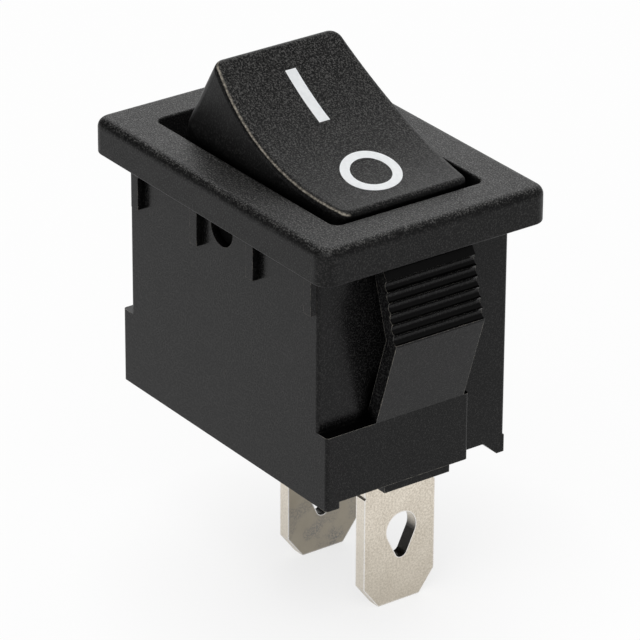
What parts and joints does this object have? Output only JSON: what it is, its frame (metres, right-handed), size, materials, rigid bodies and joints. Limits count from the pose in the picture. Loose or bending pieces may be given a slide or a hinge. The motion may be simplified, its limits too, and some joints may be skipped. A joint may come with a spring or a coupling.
{
  "type": "panel rocker switch",
  "caption": "Snap-in panel rocker switch with a rectangular bezel, a concave I/O rocker and push-on blade terminals; the rocker tilts and rocks a contact lever inside.",
  "frame": {"origin": "middle of the bezel's underside, in the plane of the panel's face", "axes": "+Z out of the panel towards the user, +X along the bezel towards its O end, +Y across it"},
  "size_m": [0.023, 0.015, 0.0293],
  "materials": {
    "housing_plastic": "fine spark-textured black nylon",
    "rocker_plastic": "leather-grained black nylon",
    "mark_white": "matt white marking",
    "plunger_acetal": "smooth natural acetal",
    "spring_steel": "drawn spring wire",
    "lever_brass": "rolled strip",
    "contact_silver": "satin silver alloy",
    "plated_brass": "satin nickel plating over brass strip"
  },
  "bodies": {
    "case": {"housing": "housing_plastic", "common_terminal": "plated_brass", "line_terminal": "plated_brass", "fixed_contact": "contact_silver"},
    "rocker": {"rocker": "rocker_plastic", "on_mark": "mark_white", "off_mark": "mark_white", "plunger_spring": "spring_steel"},
    "plunger": {"plunger": "plunger_acetal"},
    "lever": {"contact_lever": "lever_brass", "lever_contact": "contact_silver"}
  },
  "joints": [
    {"name": "rocker_tilt", "type": "hinge", "parent": "case", "child": "rocker", "pos_m": [0, 0, -0.00095], "axis": [0, 1, 0], "range_deg": [-41.6, 0]},
    {"name": "plunger_slide", "type": "slide", "parent": "rocker", "child": "plunger", "axis": [0.3551, 0, 0.9348], "range_m": [0, 0.0008], "stiffness_N_per_m": 10, "deforming": ["plunger_spring"]},
    {"name": "lever_rock", "type": "hinge", "parent": "case", "child": "lever", "pos_m": [0, 0, -0.0089], "axis": [0, 1, 0], "range_deg": [0, 20]}
  ],
  "couplings": [
    {"joint": "lever_rock", "follows": "rocker_tilt", "ratio": -0.48077}
  ]
}
